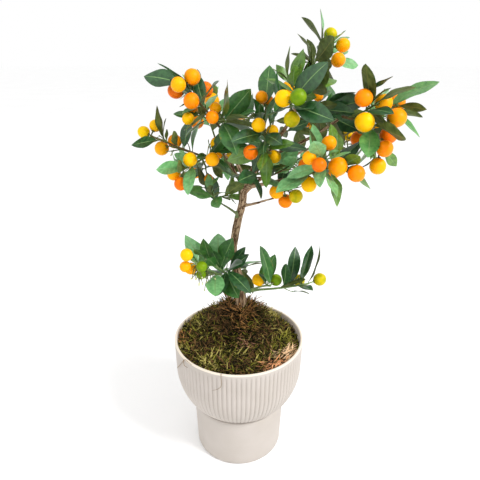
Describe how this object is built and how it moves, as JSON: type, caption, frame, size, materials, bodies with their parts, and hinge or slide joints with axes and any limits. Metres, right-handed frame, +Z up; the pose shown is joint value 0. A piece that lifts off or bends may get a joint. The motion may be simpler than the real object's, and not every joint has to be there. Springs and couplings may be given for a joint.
{
  "type": "potted kumquat tree",
  "caption": "Potted marumi kumquat tree: slim leaning trunk, open crown of glossy pointed leaves and round orange fruit, in a ribbed bowl-shaped planter on a plain foot, topped with moss",
  "frame": {"origin": "centre of the flat underside of the pot", "axes": "+Z goes up from the underside of the pot to the top of the crown, -Y faces the viewer of the picture, +X goes to the viewer's right"},
  "size_m": [0.3238, 0.2724, 0.5771],
  "materials": {
    "pot": "matt, warm off-white",
    "moss": "soft, dark green moss over potting soil",
    "bark": "rough, grey-brown bark",
    "foliage": "glossy dark green leaves and waxy orange fruit"
  },
  "bodies": {
    "root": {"bough_back": "bark", "bough_back_left": "bark", "bough_back_right": "bark", "bough_centre": "bark", "bough_crown_top": "bark", "bough_left": "bark", "bough_low_left": "bark", "bough_low_right": "bark", "bough_right": "bark", "bough_right_upper": "bark", "bough_top": "bark", "bough_upper_left": "bark", "foliage_back": "foliage", "foliage_back_left": "foliage", "foliage_back_right": "foliage", "foliage_base_left": "foliage", "foliage_base_right": "foliage", "foliage_centre": "foliage", "foliage_inner": "foliage", "foliage_left": "foliage", "foliage_low_left": "foliage", "foliage_low_right": "foliage", "foliage_right": "foliage", "foliage_top": "foliage", "foliage_upper": "foliage", "foliage_upper_left": "foliage", "foliage_upper_right": "foliage", "moss": "moss", "pot": "pot", "trunk": "bark"}
  },
  "joints": []
}
